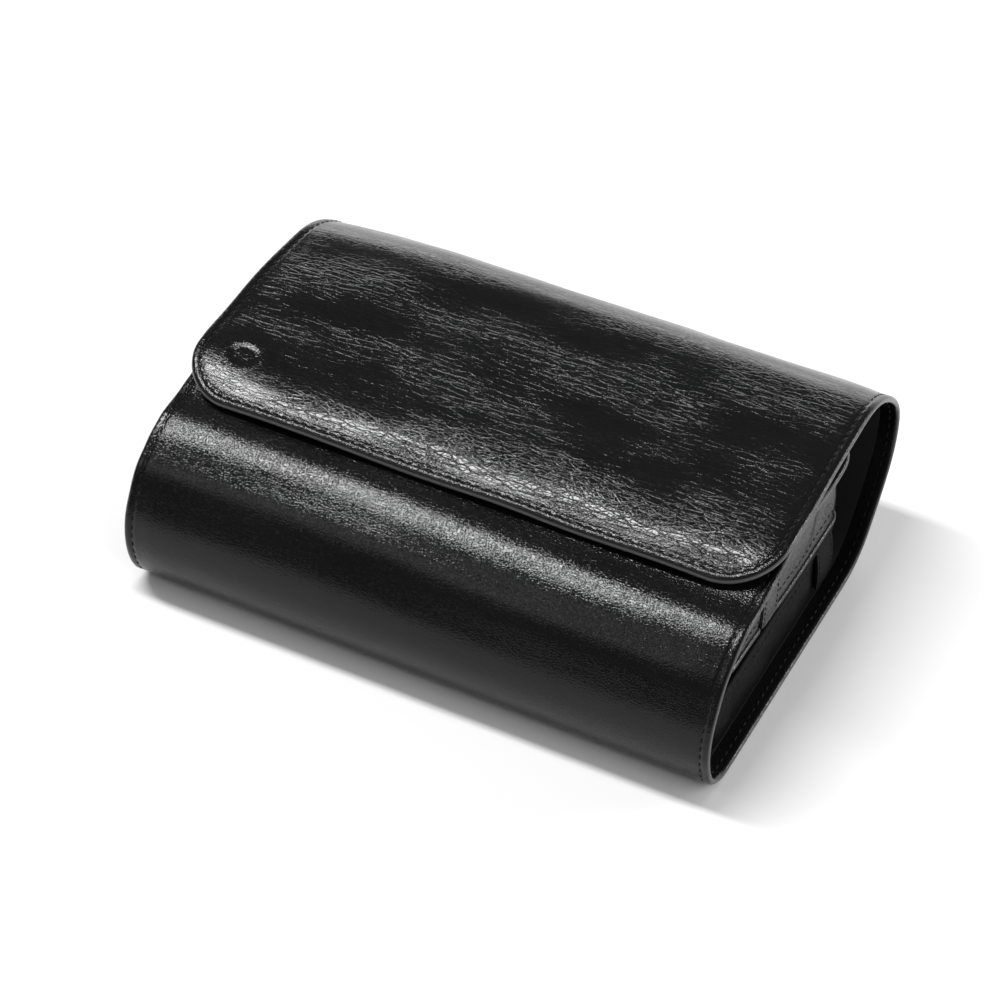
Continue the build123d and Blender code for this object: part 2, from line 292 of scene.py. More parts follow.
def weld(obj, distance=2e-6):
    """Joins the vertices that meet at an edge and points the faces outwards."""
    work = bmesh.new()
    work.from_mesh(obj.data)
    bmesh.ops.remove_doubles(work, verts=work.verts, dist=distance)
    bmesh.ops.dissolve_degenerate(work, edges=work.edges, dist=distance / 4)
    bmesh.ops.recalc_face_normals(work, faces=work.faces)
    work.to_mesh(obj.data)
    work.free()
    obj.data.shade_smooth()
    obj.data.set_sharp_from_angle(angle=math.radians(55))


front_rows = rows[rows <= BOTTOM_MIDDLE + 1e-9]
back_rows = rows[(rows >= BOTTOM_MIDDLE - 1e-9) & (rows <= FOLD_MIDDLE + 1e-9)]
flap_rows_all = rows[rows >= FOLD_MIDDLE - 1e-9]
front_hide = shell("front_and_leaf_hide", front_rows, columns, 1, -1)
back_hide = shell("back_hide", back_rows, columns, 1, -1)
flap_hide = shell("flap_hide", flap_rows_all, columns, 1, -1)


class Socket:
    """A shader value that can be added, multiplied and compared like a number."""

    def __init__(self, shader, link):
        self.shader, self.link = shader, link

    def math(self, operation, *others):
        return self.shader.node("ShaderNodeMath", {"operation": operation}, 0, self, *others)

    def __add__(self, other): return self.math("ADD", other)
    def __mul__(self, other): return self.math("MULTIPLY", other)
    def __sub__(self, other): return self.math("SUBTRACT", other)
    __radd__, __rmul__ = __add__, __mul__

    def __rsub__(self, other):
        return self.shader.node("ShaderNodeMath", {"operation": "SUBTRACT"}, 0, other, self)

    def step(self, low, high):
        kind = {"interpolation_type": "SMOOTHSTEP", "clamp": True}
        return self.shader.node("ShaderNodeMapRange", kind, 0, self, low, high)


class Finish:
    """A material under construction: its nodes, and the Principled shader they end in."""

    def __init__(self, name, **constants):
        self.material = bpy.data.materials.new(name)
        self.material.use_nodes = True
        self.tree = self.material.node_tree
        self.surface = self.tree.nodes["Principled BSDF"]
        for socket, value in constants.items():
            self.surface.inputs[socket.replace("_", " ")].default_value = value

    def node(self, kind, settings=None, out=0, *values, **named):
        made = self.tree.nodes.new(kind)
        for key, value in (settings or {}).items():
            setattr(made, key, value)
        named = {key.replace("_", " "): value for key, value in named.items()}
        for key, value in [*enumerate(values), *named.items()]:
            if isinstance(value, Socket):
                self.tree.links.new(value.link, made.inputs[key])
            elif value is not None:
                made.inputs[key].default_value = value
        return Socket(self, made.outputs[out])

    def place(self, stretch=(1, 1, 1)):
        """Object coordinates in metres, drawn out along an axis by a small stretch."""
        raw = self.node("ShaderNodeTexCoord", None, "Object")
        return self.node("ShaderNodeMapping", None, 0, raw, (0, 0, 0), (0, 0, 0), stretch)

    def noise(self, where, size, detail=2.0, roughness=0.5):
        return self.node("ShaderNodeTexNoise", None, "Fac", Vector=where, Scale=1 / size,
                         Detail=detail, Roughness=roughness)

    def cells(self, where, size):
        """Distance to the nearest border between cells of about the given size."""
        return self.node("ShaderNodeTexVoronoi", {"feature": "DISTANCE_TO_EDGE"}, "Distance",
                         Vector=where, Scale=1 / size)

    def warped(self, where, size, amount):
        """Coordinates pushed about by noise, so that lines wander."""
        push = self.node("ShaderNodeTexNoise", None, "Color", Vector=where, Scale=1 / size,
                         Detail=2.0)
        centred = self.node("ShaderNodeVectorMath", {"operation": "SUBTRACT"}, 0, push,
                            (0.5, 0.5, 0.5))
        scaled = self.node("ShaderNodeVectorMath", {"operation": "SCALE"}, 0, centred, Scale=amount)
        return self.node("ShaderNodeVectorMath", {"operation": "ADD"}, 0, where, scaled)

    def mix(self, share, first, second):
        made = self.tree.nodes.new("ShaderNodeMix")
        made.data_type = "RGBA"
        self.tree.links.new(share.link, made.inputs[0])
        for slot, value in ((6, first), (7, second)):
            if isinstance(value, Socket):
                self.tree.links.new(value.link, made.inputs[slot])
            else:
                made.inputs[slot].default_value = (*value, 1)
        return Socket(self, made.outputs[2])

    def relief(self, height, depth, strength=1.0):
        normal = self.node("ShaderNodeBump", None, 0, Strength=strength, Distance=depth,
                           Height=height)
        self.tree.links.new(normal.link, self.surface.inputs["Normal"])

    def drive(self, socket, value):
        self.tree.links.new(value.link, self.surface.inputs[socket])

    def on(self, *objects):
        for obj in objects:
            obj.data.materials.clear()
            obj.data.materials.append(self.material)


def leather(name, rest, glaze, tone):
    """Black hide: pebble grain, creases drawn out along the case, a worn gloss, and a painted
    highlight along its bare edge.

    rest is the share of creasing where the hide doesn't flex, glaze the least roughness, and
    tone the dye's brightness."""
    skin = Finish(name, Specular_IOR_Level=0.26)
    place = skin.place()
    long_place = skin.place((0.36, 1, 1))
    worked = skin.node("ShaderNodeAttribute", {"attribute_name": "worked"}, "Fac")
    give = worked * (1 - rest) + rest
    wide = skin.cells(skin.warped(long_place, 9 * mm, 4 * mm), 2.6 * mm).step(0.0, 0.1)
    fine_place = skin.warped(skin.place((0.5, 1, 1)), 4 * mm, 1.8 * mm)
    fine = skin.cells(fine_place, 1.3 * mm).step(0.0, 0.13)
    patches = skin.noise(long_place, 17 * mm, 3.0).step(0.27, 0.64)
    pebble = skin.cells(skin.warped(place, 1.6 * mm, 0.7 * mm), 1.05 * mm).step(0.0, 0.34)
    pores = skin.noise(place, 0.6 * mm, 2.0)
    folds = skin.noise(skin.place((0.6, 1, 1)), 8 * mm, 2.0, 0.45)
    relief = wide * patches * (give * 0.36) + fine * (give * 0.17) * (patches * 0.7 + 0.3)
    relief = relief + pebble * (0.19 - worked * 0.15) + pores * (0.12 - worked * 0.09)
    relief = relief + folds * 0.36
    skin.relief(relief, 0.24 * mm)
    worn = skin.noise(long_place, 16 * mm, 4.0)
    rim = skin.node("ShaderNodeAttribute", {"attribute_name": "rim"}, "Fac")
    skin.drive("Roughness", (1 - fine) * 0.08 + (1 - wide) * 0.06 + worn * 0.12 + glaze)
    grain = skin.mix(worn, (tone * 0.6, tone * 0.6, tone * 0.62),
                     (tone * 1.4, tone * 1.4, tone * 1.45))
    # The bare edge turns light grey: a painted highlight along the burnished edge.
    skin.drive("Base Color", skin.mix(rim, grain, (0.075, 0.075, 0.078)))
    return skin


glazed = leather("glazed_black_hide", rest=0.18, glaze=0.08, tone=0.0025)
glazed.on(front_hide, back_hide, flap_hide)


def bends(obj, where):
    """Bakes a part's placement into its mesh, the same whichever fold it crosses."""
    if where == "front":
        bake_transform(obj)
    elif where == "back":
        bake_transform(obj)
    else:
        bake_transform(obj)


for obj, where, nodes in (
        (front_hide, "front", ["leaf_leather", "leaf_fold_leather", "body_leather"]),
        (back_hide, "back", ["body_leather"]),
        (flap_hide, "flap", ["flap_leather", "flap_fold_leather"])):
    bends(obj, where)
    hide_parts(*nodes)

# ---- Boards, magnets and keepers -----------------------------------------------------------
# Pulp boards glued between hide and lining keep each panel flat, and stop short of the folds.
# Thin disc magnets sit in a hole of the flap's board, over steel keepers in the leaf's.
board_inset = 8 * mm
board_rows = {
    "front_board": (FRONT_TOP + 5 * mm, BELLY + 10 * mm),
    "bottom_board": (TOE + 4 * mm, HEEL - 4 * mm),
    "back_board": (HEEL + 10 * mm, BACK_TOP - 4 * mm),
    "flap_board": (FLAP_START + 4 * mm, whole - board_inset),
    "leaf_board": (board_inset, LEAF_END - 20 * mm)}
board_finish = Finish("grey_pulp_board", Roughness=0.9)
fibres = board_finish.noise(board_finish.place((1, 3, 3)), 0.6 * mm, 4.0)
board_finish.drive("Base Color", board_finish.mix(fibres, (0.2, 0.19, 0.17), (0.34, 0.32, 0.29)))
board_finish.relief(fibres, 0.05 * mm)
for node, (first, last) in board_rows.items():
    board = shell(node + "_blank", graded((first, last, 4 * mm)), graded((-1, 1, 0.04)),
                  0.35, -0.4, width=half_length - board_inset)
    board_finish.on(board)
    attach(board, {"flap_board": "flap", "leaf_board": "leaf"}.get(node, "case"))
    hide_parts(node)


def disc(name, centre, normal, radius, thickness):
    """A short round disc, its rim eased, standing along a normal."""
    work = bmesh.new()
    bmesh.ops.create_cone(work, cap_ends=True, segments=32, radius1=radius, radius2=radius,
                          depth=thickness)
    rim = [edge for edge in work.edges if edge.calc_face_angle() > 1]
    bmesh.ops.bevel(work, geom=rim, offset=0.15 * mm, segments=2, affect="EDGES")
    work.transform(Vector(normal).to_track_quat("Z", "Y").to_matrix().to_4x4())
    bmesh.ops.translate(work, verts=work.verts, vec=Vector(centre))
    mesh = bpy.data.meshes.new(name)
    work.to_mesh(mesh)
    work.free()
    made = bpy.data.objects.new(name, mesh)
    bpy.context.scene.collection.objects.link(made)
    return made


def join(name, pieces):
    """Several meshes as one object."""
    work = bmesh.new()
    for piece in pieces:
        work.from_mesh(piece.data)
        bpy.data.objects.remove(piece)
    mesh = bpy.data.meshes.new(name)
    work.to_mesh(mesh)
    work.free()
    made = bpy.data.objects.new(name, mesh)
    bpy.context.scene.collection.objects.link(made)
    return made


plating = Finish("nickel_plate", Base_Color=(0.52, 0.5, 0.47, 1), Metallic=1.0)
rubbed = plating.noise(plating.place((1, 6, 6)), 0.4 * mm, 4.0)
plating.drive("Roughness", rubbed * 0.25 + 0.12)
plating.relief(rubbed, 0.01 * mm, 0.5)
magnet_x = 75 * mm
for node, body, station in (("flap_magnets", "flap", whole - 20 * mm),
                            ("leaf_keepers", "leaf", 62 * mm)):
    discs = []
    for side in (-1, 1):
        points = [Vector(hide_point(station + ds, side * magnet_x + dx, 0.0)) for ds, dx in
                  ((0, 0), (1 * mm, 0), (0, 1 * mm))]
        normal = (points[2] - points[0]).cross(points[1] - points[0]).normalized()
        discs.append(disc("disc", points[0], normal, 5 * mm, 0.8 * mm))
    discs = join(node + "_discs", discs)
    plating.on(discs)
    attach(discs, body)
    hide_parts(node)

# ---- Lining --------------------------------------------------------------------------------
# Thin black twill, glued over the boards on the inside, its edges under the turned hem. It runs
# in one sheet with the hide at each fold, so it creases with it.
lining_inset = 7.6 * mm
twill = Finish("black_twill_lining", Specular_IOR_Level=0.25)


def weave(cloth, pitch):
    """Threads of a twill: two sets of fine ribs, one stepping over the other."""
    place = cloth.place()
    split = cloth.tree.nodes.new("ShaderNodeSeparateXYZ")
    cloth.tree.links.new(place.link, split.inputs[0])
    across = Socket(cloth, split.outputs[0]) * (2 * math.pi / pitch)
    along = Socket(cloth, split.outputs[1]) + Socket(cloth, split.outputs[2])
    along = along * (2 * math.pi / pitch)
    return (across + along).math("SINE") * 0.5 + (along * 2.0).math("SINE") * 0.25 + 0.5


ribs = weave(twill, 0.7 * mm)
nap = twill.noise(twill.place(), 3 * mm, 3.0)
twill.relief(ribs + nap, 0.06 * mm)
twill.drive("Base Color", twill.mix(ribs, (0.004, 0.004, 0.0045), (0.012, 0.012, 0.013)))
twill.drive("Roughness", nap * 0.2 + 0.55)
lining_columns = graded((-1, 1, 0.02))
for name, where, first, last, nodes in (
        ("leaf_and_front_lining", "front", lining_inset, BOTTOM_MIDDLE,
         ["leaf_lining", "leaf_fold_lining", "body_lining"]),
        ("back_lining_sheet", "back", BOTTOM_MIDDLE, FOLD_MIDDLE, ["body_lining"]),
        ("flap_lining_sheet", "flap", FOLD_MIDDLE, whole - lining_inset,
         ["flap_lining", "flap_fold_lining"])):
    lining = shell(name, graded((first, last, 1.6 * mm)), lining_columns, -0.9, -1.2,
                   width=half_length - lining_inset)
    twill.on(lining)
    bends(lining, where)
    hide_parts(*nodes)

# ---- Edge stitching ------------------------------------------------------------------------
# Waxed black thread, locked through both faces of the hem, one seam right round the hide. Each
# visible stitch is a short plump bar in the seam's groove.
thread = Finish("waxed_black_thread", Specular_IOR_Level=0.16)
twist = thread.noise(thread.place(), 0.25 * mm, 2.0)
thread.drive("Roughness", twist * 0.2 + 0.45)
thread.drive("Base Color", thread.mix(twist, (0.0015, 0.0015, 0.0015), (0.007, 0.007, 0.0075)))
thread.relief(twist, 0.04 * mm)


def row_tree(name, finish_used, shape, lean_by):
    """Geometry nodes that repeat a small shape along edges, each piece turned to its way."""
    tree = bpy.data.node_groups.new(name, "GeometryNodeTree")
    tree.interface.new_socket("Geometry", in_out="INPUT", socket_type="NodeSocketGeometry")
    sizes = {}
    for label in ("Pitch", "Length", "Width", "Height"):
        entry = tree.interface.new_socket(label, in_out="INPUT", socket_type="NodeSocketFloat")
        sizes[label] = entry.identifier
    tree.interface.new_socket("Geometry", in_out="OUTPUT", socket_type="NodeSocketGeometry")
    add, link = tree.nodes.new, tree.links.new
    given, result = add("NodeGroupInput"), add("NodeGroupOutput")
    curve, spaced = add("GeometryNodeMeshToCurve"), add("GeometryNodeResampleCurve")
    spaced.mode = "LENGTH"
    bar = add(shape[0])
    for socket, value in shape[1].items():
        bar.inputs[socket].default_value = value
    size, tangent = add("ShaderNodeCombineXYZ"), add("GeometryNodeInputTangent")
    turn, place = add("FunctionNodeAlignRotationToVector"), add("GeometryNodeInstanceOnPoints")
    turn.axis = "X"
    lean, slant = add("FunctionNodeRandomValue"), add("FunctionNodeRotateRotation")
    lean.data_type = "FLOAT_VECTOR"
    lean.inputs[0].default_value = (0, -0.6 * lean_by, -lean_by)
    lean.inputs[1].default_value = (0, 0.6 * lean_by, lean_by)
    lean.inputs["Seed"].default_value = 4
    slant.rotation_space = "LOCAL"
    real, finish = add("GeometryNodeRealizeInstances"), add("GeometryNodeSetMaterial")
    smooth_faces = add("GeometryNodeSetShadeSmooth")
    finish.inputs["Material"].default_value = finish_used.material
    smooth_faces.inputs["Shade Smooth"].default_value = shape[0] != "GeometryNodeMeshCube"
    link(given.outputs["Geometry"], curve.inputs[0])
    link(curve.outputs[0], spaced.inputs["Curve"])
    link(given.outputs["Pitch"], spaced.inputs["Length"])
    link(given.outputs["Length"], size.inputs[0])
    link(given.outputs["Width"], size.inputs[1])
    link(given.outputs["Height"], size.inputs[2])
    link(tangent.outputs[0], turn.inputs["Vector"])
    link(turn.outputs[0], slant.inputs[0])
    link(lean.outputs[0], slant.inputs[1])
    link(spaced.outputs[0], place.inputs["Points"])
    link(bar.outputs[0], place.inputs["Instance"])
    link(slant.outputs[0], place.inputs["Rotation"])
    link(size.outputs[0], place.inputs["Scale"])
    link(place.outputs[0], real.inputs[0])
    link(real.outputs[0], smooth_faces.inputs[0])
    link(smooth_faces.outputs[0], finish.inputs["Geometry"])
    link(finish.outputs[0], result.inputs[0])
    return tree, sizes


thread_bar = ("GeometryNodeMeshUVSphere", {"Segments": 6, "Rings": 5, "Radius": 0.5})
seam_tree = row_tree("stitches_along_a_seam", thread, thread_bar, 0.09)


def plain(obj):
    """Bakes an object's modifiers into a mesh of its own."""
    seen = obj.evaluated_get(bpy.context.evaluated_depsgraph_get())
    mesh = bpy.data.meshes.new_from_object(seen)
    obj.modifiers.clear()
    obj.data = mesh
    return obj


def row(name, paths, tree_and_sizes, sizes):
    """Repeats a shape along paths, each an array of points."""
    verts, edges = [], []
    for path in paths:
        edges += [(len(verts) + i, len(verts) + i + 1) for i in range(len(path) - 1)]
        verts += [tuple(point) for point in path]
    mesh = bpy.data.meshes.new(name)
    mesh.from_pydata(verts, edges, [])
    made = bpy.data.objects.new(name, mesh)
    bpy.context.scene.collection.objects.link(made)
    maker = made.modifiers.new("row", "NODES")
    maker.node_group = tree_and_sizes[0]
    for label, value in zip(("Pitch", "Length", "Width", "Height"), sizes):
        maker[tree_and_sizes[1][label]] = value
    return plain(made)


def stitch(name, paths, pitch=4.0 * mm, length=2.9 * mm, thickness=0.7 * mm):
    return row(name, paths, seam_tree, (pitch, length, thickness, thickness))


def end_seam(corner, far, from_leaf):
    """A seam down one side, round an end with its two corners, and up the other side."""
    straight = graded((far, corner, 1 * mm))[:-1]
    angle = np.radians(graded((0, 90, 6)))
    inner = corner - stitch_margin
    arc_s, arc_x = corner - inner * np.sin(angle), half_length - corner + inner * np.cos(angle)
    side = np.full_like(straight, half_length - stitch_margin)
    end_way, end_x = np.concatenate([straight, arc_s]), np.concatenate([side, arc_x])
    across = graded((half_length - corner, -(half_length - corner), 1 * mm))[1:-1]
    s = np.concatenate([end_way, np.full_like(across, stitch_margin), end_way[::-1]])
    x = np.concatenate([end_x, across, -end_x[::-1]])
    return (s if from_leaf else whole - s), x


front_seam = end_seam(leaf_corner, BOTTOM_MIDDLE, True)
flap_seam = end_seam(flap_corner, whole - FOLD_MIDDLE, False)
back_way = graded((BOTTOM_MIDDLE, FOLD_MIDDLE, 1 * mm))
back_sides = [(back_way, np.full_like(back_way, side * (half_length - stitch_margin)))
              for side in (-1, 1)]
for name, where, seams in (("front_stitches", "front", [front_seam]),
                           ("back_stitches", "back", back_sides),
                           ("flap_stitches", "flap", [flap_seam])):
    paths = [hide_point(s, x, level) for s, x in seams for level in (1.05, -1.02)]
    sewn = stitch(name, paths)
    thread.on(sewn)
    bends(sewn, where)

# ---- Pouches -------------------------------------------------------------------------------
# Two flat zipped pouches of softer hide: one stands on the bottom, one hangs under the leaf.
# Each is a gusset sewn into a ring, with a face panel bound round its edge.
pouch_half = 112 * mm
pouch_round = 10 * mm
pouch_wall = 1.6 * mm
end_sag = 4.2 * mm          # how far the hung pouch has dropped at its right end
soft = leather("soft_black_hide", rest=0.25, glaze=0.1, tone=0.01)
soft.surface.inputs["Specular IOR Level"].default_value = 0.5
# A darker, duller copy of the hide for the standing pouch: its darker tone is painted shade for the
# shadow under the leaf.
shade_darkened_hide = leather("shade_darkened_black_hide", rest=0.4, glaze=0.5, tone=0.002)
shade_darkened_hide.surface.inputs["Specular IOR Level"].default_value = 0.1


def sheet_object(name, verts, faces, thickness, offset=-1.0):
    """An open sheet given a thickness, as a plain closed mesh."""
    mesh = bpy.data.meshes.new(name)
    mesh.from_pydata([tuple(v) for v in verts], [], faces)
    made = bpy.data.objects.new(name, mesh)
    bpy.context.scene.collection.objects.link(made)
    weld(made)
    body = made.modifiers.new("thickness", "SOLIDIFY")
    body.thickness, body.offset, body.use_even_offset = thickness, offset, True
    plain(made)
    weld(made, 1e-7)
    return made


def plan_loop(front, back, corner, half=pouch_half):
    """A rounded rectangle as (x, y, outward x, outward y), starting at the right end's middle."""
    middle = (front + back) / 2
    quarter = [(half, y, 1.0, 0.0) for y in np.linspace(middle, back - corner, 22)[:-1]]
    quarter += [(half - corner + corner * math.cos(a), back - corner + corner * math.sin(a),
                 math.cos(a), math.sin(a)) for a in np.radians(graded((0, 90, 7.5)))]
    quarter += [(x, back, 0.0, 1.0) for x in np.linspace(half - corner, 0, 42)[1:]]
    top = quarter + [(-x, y, -nx, ny) for x, y, nx, ny in quarter[-2::-1]]
    return np.array(top + [(x, 2 * middle - y, nx, -ny) for x, y, nx, ny in top[-2:0:-1]])


def gusset_point(shape, v, inset=0.0):
    """One level of a pouch's wall, from its face (v = 0) to its root (v = 1)."""
    front_y, front_z, back_y, back_z = (np.interp(v, shape["at"], shape[side]) for side in
                                        ("front_y", "front_z", "back_y", "back_z"))
    loop = plan_loop(front_y, back_y, pouch_round)
    x, y, nx, ny = loop.T
    share = (y - front_y) / (back_y - front_y)
    z = front_z + (back_z - front_z) * share
    along = np.arctan2(y, x) * 60 * mm + y
    bulge = (0.9 * math.sin(math.pi * v) ** 0.7) * mm * (0.8 + 0.4 * np.sin(along / (9 * mm)))
    ripples = waves(along, np.full_like(along, v * 20 * mm), 5, 5 * mm, 19 * mm)
    bulge = bulge + 0.35 * mm * math.sin(math.pi * v) * ripples
    for seam in shape["seams"]:
        bulge = bulge - 0.7 * mm * bump(y, seam, 0.9 * mm) * (np.abs(nx) > 0.9)
    bulge = bulge - inset
    if shape["hangs"]:
        z = z - end_sag * (1 - v) * ramp(x, 96 * mm, pouch_half) * ramp(share, 0.05, 0.7)
        station = np.clip(leaf_tip.y - y, 0, None)
        z = z + v * drape(station, np.clip(x, -half_length, half_length))
    return np.stack([x + nx * bulge, y + ny * bulge, z], -1)


def ring_sheet(name, levels, thickness):
    """A sheet that runs round a pouch, through rings of points from its face to its root."""
    count = len(levels[0])
    faces = []
    for low in range(0, (len(levels) - 1) * count, count):
        high = low + count
        faces += [(low + i, low + (i + 1) % count, high + (i + 1) % count, high + i)
                  for i in range(count)]
    return sheet_object(name, np.concatenate(levels), faces, thickness)


upper = dict(
    hangs=True, at=[0, 0.45, 1], seams=[-13 * mm, -25 * mm],
    front_y=np.array([-58, -58, -33]) * mm, front_z=np.array([34.6, 50, 66.4]) * mm,
    back_y=np.array([51, 48, 42]) * mm, back_z=np.array([34.6, 50, 70.6]) * mm)
lower = dict(
    hangs=False, at=[0, 1], seams=[],
    front_y=np.array([-72.4, -66.4]) * mm, front_z=np.array([26.4, 2.6]) * mm,
    back_y=np.array([48.9, 40.9]) * mm, back_z=np.array([26.4, 2.6]) * mm)


def face_sheet(name, front, back, z, slot_y, outward):
    """A face panel: a soft sheet with round corners, swelling either side of its zip's slot."""
    slot_half, slot_reach = 4.5 * mm, 100 * mm
    corner_steps = pouch_round * (1 - np.cos(np.radians(np.arange(0, 91, 9))))
    xs = np.concatenate([graded((-pouch_half, pouch_half, 2.4 * mm)), [-slot_reach, slot_reach],
                         pouch_half - corner_steps, -pouch_half + corner_steps])
    ys = np.concatenate([graded((front, slot_y - slot_half, 2.4 * mm)), [slot_y],
                         graded((slot_y + slot_half, back, 2.4 * mm))])
    xs, ys = np.unique(np.round(xs, 6)), np.unique(np.round(ys, 6))
    verts, index = [], {}
    for i, x in enumerate(xs):
        past = max(0, abs(x) - pouch_half + pouch_round)
        cut = pouch_round - math.sqrt(max(pouch_round ** 2 - past ** 2, 0))
        for j, y in enumerate(ys):
            near = min(max(y, front + cut), back - cut)
            rim = min(pouch_half - abs(x), near - front, back - near)
            gap = max(abs(y - slot_y) - slot_half, abs(x) - slot_reach, 0)
            swell = 0.7 * mm * (1 - math.exp(-rim / (6 * mm))) * (1 - math.exp(-gap / (5 * mm)))
            ripple = float(waves(np.array(near), np.array(x), 6, 12 * mm, 40 * mm))
            swell += 0.3 * mm * ripple * min(1, rim / (9 * mm), gap / (9 * mm))
            index[i, j] = len(verts)
            share = (near - front) / (back - front)
            sag = 0
            if outward < 0:
                sag = end_sag * float(ramp(x, 96 * mm, pouch_half) * ramp(share, 0.05, 0.7))
            verts.append((x, near, z - sag + outward * (swell - 0.5 * mm)))
    faces = []
    for i in range(len(xs) - 1):
        for j in range(len(ys) - 1):
            middle_x, middle_y = (xs[i] + xs[i + 1]) / 2, (ys[j] + ys[j + 1]) / 2
            if abs(middle_x) > slot_reach or abs(middle_y - slot_y) > slot_half:
                faces.append((index[i, j], index[i + 1, j], index[i + 1, j + 1], index[i, j + 1]))
    return sheet_object(name, verts, faces, 1.2 * mm, 0.0)


def bead(name, path, radius, sides=8):
    """A round bead along a closed path."""
    path = np.asarray(path)
    ahead = np.roll(path, -1, 0) - np.roll(path, 1, 0)
    ahead /= np.linalg.norm(ahead, axis=1)[:, None]
    side = np.cross(ahead, [0, 0, 1.0])
    side /= np.linalg.norm(side, axis=1)[:, None]
    top = np.cross(side, ahead)
    angles = np.linspace(0, 2 * math.pi, sides, endpoint=False)
    rings = [path + radius * (math.cos(a) * side + math.sin(a) * top) for a in angles]
    verts = np.stack(rings, 1).reshape(-1, 3)
    faces = []
    for here in range(0, len(verts), sides):
        there = (here + sides) % len(verts)
        faces += [(here + k, here + (k + 1) % sides, there + (k + 1) % sides, there + k)
                  for k in range(sides)]
    mesh = bpy.data.meshes.new(name)
    mesh.from_pydata([tuple(v) for v in verts], [], faces)
    made = bpy.data.objects.new(name, mesh)
    bpy.context.scene.collection.objects.link(made)
    weld(made)
    return made


upper_zip_y, lower_zip_y = -18 * mm, 32.43 * mm
for prefix, shape, body, slot_y in (("upper", upper, "leaf", upper_zip_y),
                                    ("lower", lower, "case", lower_zip_y)):
    heights = np.linspace(0, 1, 17)
    walls = ring_sheet(prefix + "_gusset_ring", [gusset_point(shape, v) for v in heights],
                       pouch_wall)
    inside = ring_sheet(prefix + "_pouch_cloth",
                        [gusset_point(shape, v, 1.7 * mm) for v in heights[1:-1]], 0.5 * mm)
    outward = -1 if shape["hangs"] else 1
    face_z = shape["front_z"][0] + outward * 0.8 * mm
    panel = face_sheet(prefix + "_face_panel", shape["front_y"][0], shape["back_y"][0], face_z,
                       slot_y, outward)
    rim = gusset_point(shape, 0.0) + [0, 0, face_z - shape["front_z"][0]]
    binding = bead(prefix + "_binding", rim, 1.1 * mm)
    line = gusset_point(shape, 0.16, -0.05 * mm)
    sewing = stitch(prefix + "_pouch_stitches", [np.concatenate([line, line[:1]])],
                    3.4 * mm, 2.4 * mm, 0.5 * mm)
    # The standing pouch takes the darker copy of the hide, which is painted shade.
    hide_used = soft if shape["hangs"] else shade_darkened_hide
    for piece, node, slot_name, finish in (
            (walls, "_pouch_gusset", "pouch_hide", hide_used),
            (inside, "_pouch_lining", "pouch_lining_cloth", twill),
            (panel, "_pouch_face", "pouch_hide", soft),
            (binding, None, "pouch_hide", hide_used), (sewing, None, "pouch_hide", thread)):
        finish.on(piece)
        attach(piece, body)
        if node:
            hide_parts(prefix + node)

# ---- Zips ----------------------------------------------------------------------------------
# Nickel-toothed zips on woven tape, sewn behind the slot of each pouch's face. A slider with a
# flat pull runs on the teeth, and a tab of hide, sewn down, covers each end of the tape.
zip_half = 98 * mm
tape_weave = Finish("woven_zip_tape", Specular_IOR_Level=0.2, Roughness=0.8)
threads = weave(tape_weave, 0.5 * mm)
tape_weave.relief(threads, 0.08 * mm)
tape_colour = tape_weave.mix(threads, (0.003, 0.003, 0.003), (0.014, 0.014, 0.015))
tape_weave.drive("Base Color", tape_colour)
tooth_block = ("GeometryNodeMeshCube", {"Size": (1, 1, 1)})
tooth_tree = row_tree("teeth_along_a_tape", plating, tooth_block, 0.0)


def solid(name, low, high, ease):
    """A block with its edges rounded over."""
    work = bmesh.new()
    bmesh.ops.create_cube(work, size=1)
    for vert in work.verts:
        vert.co = [low[i] + (vert.co[i] + 0.5) * (high[i] - low[i]) for i in range(3)]
    bmesh.ops.bevel(work, geom=work.edges[:], offset=ease, segments=3, profile=0.5,
                    affect="EDGES")
    mesh = bpy.data.meshes.new(name)
    work.to_mesh(mesh)
    work.free()
    mesh.shade_smooth()
    mesh.set_sharp_from_angle(angle=math.radians(50))
    made = bpy.data.objects.new(name, mesh)
    bpy.context.scene.collection.objects.link(made)
    return made


def box_mm(name, x0, x1, y0, y1, z0, z1, ease):
    return solid(name, (x0 * mm, y0 * mm, z0 * mm), (x1 * mm, y1 * mm, z1 * mm), ease * mm)


def plate_with_eye(name, eye_x, far_x, radius, eye, low, high):
    """A flat pull: a rounded plate round an eye, running out to a rounded end."""
    angles = np.linspace(0, 2 * math.pi, 40, endpoint=False)
    outer = []
    for a in angles:
        middle_x, taper = (eye_x, 1) if math.cos(a) >= -1e-9 else (far_x + radius, 0.86)
        outer.append((middle_x + radius * math.cos(a), radius * math.sin(a) * taper))
    inner = [(eye_x + eye * math.cos(a), eye * math.sin(a)) for a in angles]
    n = len(angles)
    verts = [(x, y, (low + high) / 2) for x, y in inner + outer]
    faces = [(i, (i + 1) % n, n + (i + 1) % n, n + i) for i in range(n)]
    made = sheet_object(name, verts, faces, high - low, 0.0)
    soften = made.modifiers.new("soften", "BEVEL")
    soften.width, soften.segments = 0.22 * mm, 2
    soften.limit_method, soften.angle_limit = "ANGLE", math.radians(50)
    return plain(made)


def arch(name, points, radius):
    """A bent round wire with closed ends."""
    points = np.array(points)
    curve = bpy.data.curves.new(name, "CURVE")
    curve.dimensions, curve.use_fill_caps = "3D", True
    curve.bevel_depth, curve.bevel_resolution = radius, 2
    run = curve.splines.new("POLY")
    run.points.add(len(points) - 1)
    for spot, point in zip(run.points, points):
        spot.co = (*point, 1)
    made = bpy.data.objects.new(name, curve)
    bpy.context.scene.collection.objects.link(made)
    seen = made.evaluated_get(bpy.context.evaluated_depsgraph_get())
    mesh = bpy.data.meshes.new_from_object(seen)
    bpy.data.objects.remove(made)
    wire = bpy.data.objects.new(name, mesh)
    bpy.context.scene.collection.objects.link(wire)
    return wire


